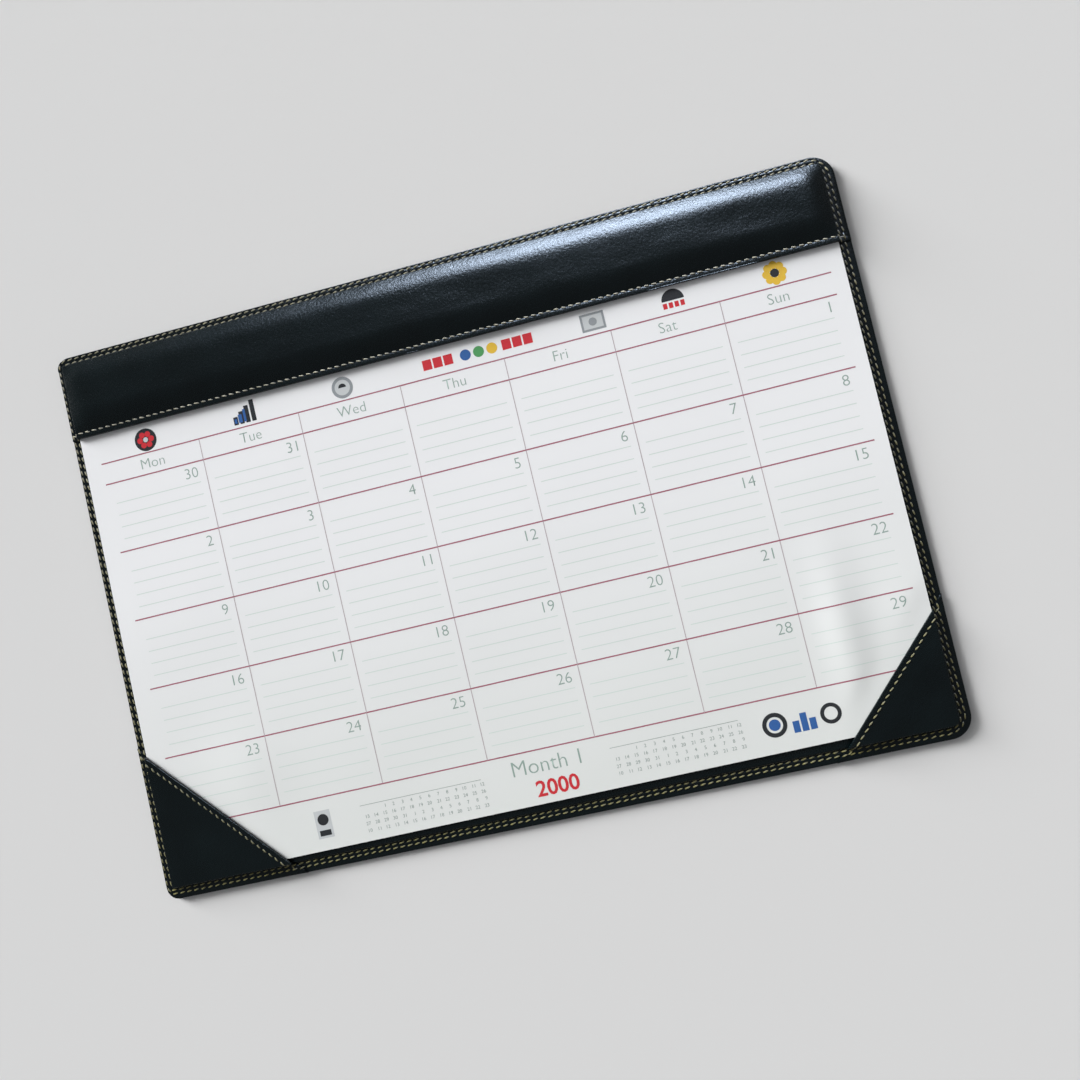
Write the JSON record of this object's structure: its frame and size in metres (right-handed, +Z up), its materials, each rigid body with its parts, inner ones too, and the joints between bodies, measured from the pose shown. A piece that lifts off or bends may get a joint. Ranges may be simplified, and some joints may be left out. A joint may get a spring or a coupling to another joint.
{
  "type": "desk pad year planner",
  "caption": "Flat sewn leatherette desk folder with a padded header band and two corner pockets, which hold a large month-by-month planner pad.",
  "frame": {"origin": "middle of the folder's underside, which lies on the desk", "axes": "+X to the user's right along the folder's long side, +Y towards the header band, +Z up out of the sheets"},
  "size_m": [0.44, 0.31, 0.0104],
  "materials": {
    "leatherette": "semi-gloss black leatherette with a fine grain",
    "backing": "matt black lining sheet",
    "greyboard": "plain greyboard",
    "foam": "soft padding, hidden inside the header",
    "lining_cloth": "matt lining under the padding",
    "thread": "twisted polyester thread, satin",
    "paper": "smooth uncoated paper",
    "print": "offset ink, matt"
  },
  "bodies": {
    "root": {"back_panel": "backing", "stiffener_board": "greyboard", "front_panel": "leatherette", "header_band": "leatherette", "header_foam": "foam", "header_lining": "lining_cloth", "corner_pocket_left": "leatherette", "corner_pocket_right": "leatherette", "calendar_pad": "paper", "printed_month_grid": "print", "rim_thread_outer": "thread", "rim_thread_inner": "thread", "header_thread": "thread", "left_pocket_thread": "thread", "right_pocket_thread": "thread"}
  },
  "joints": []
}
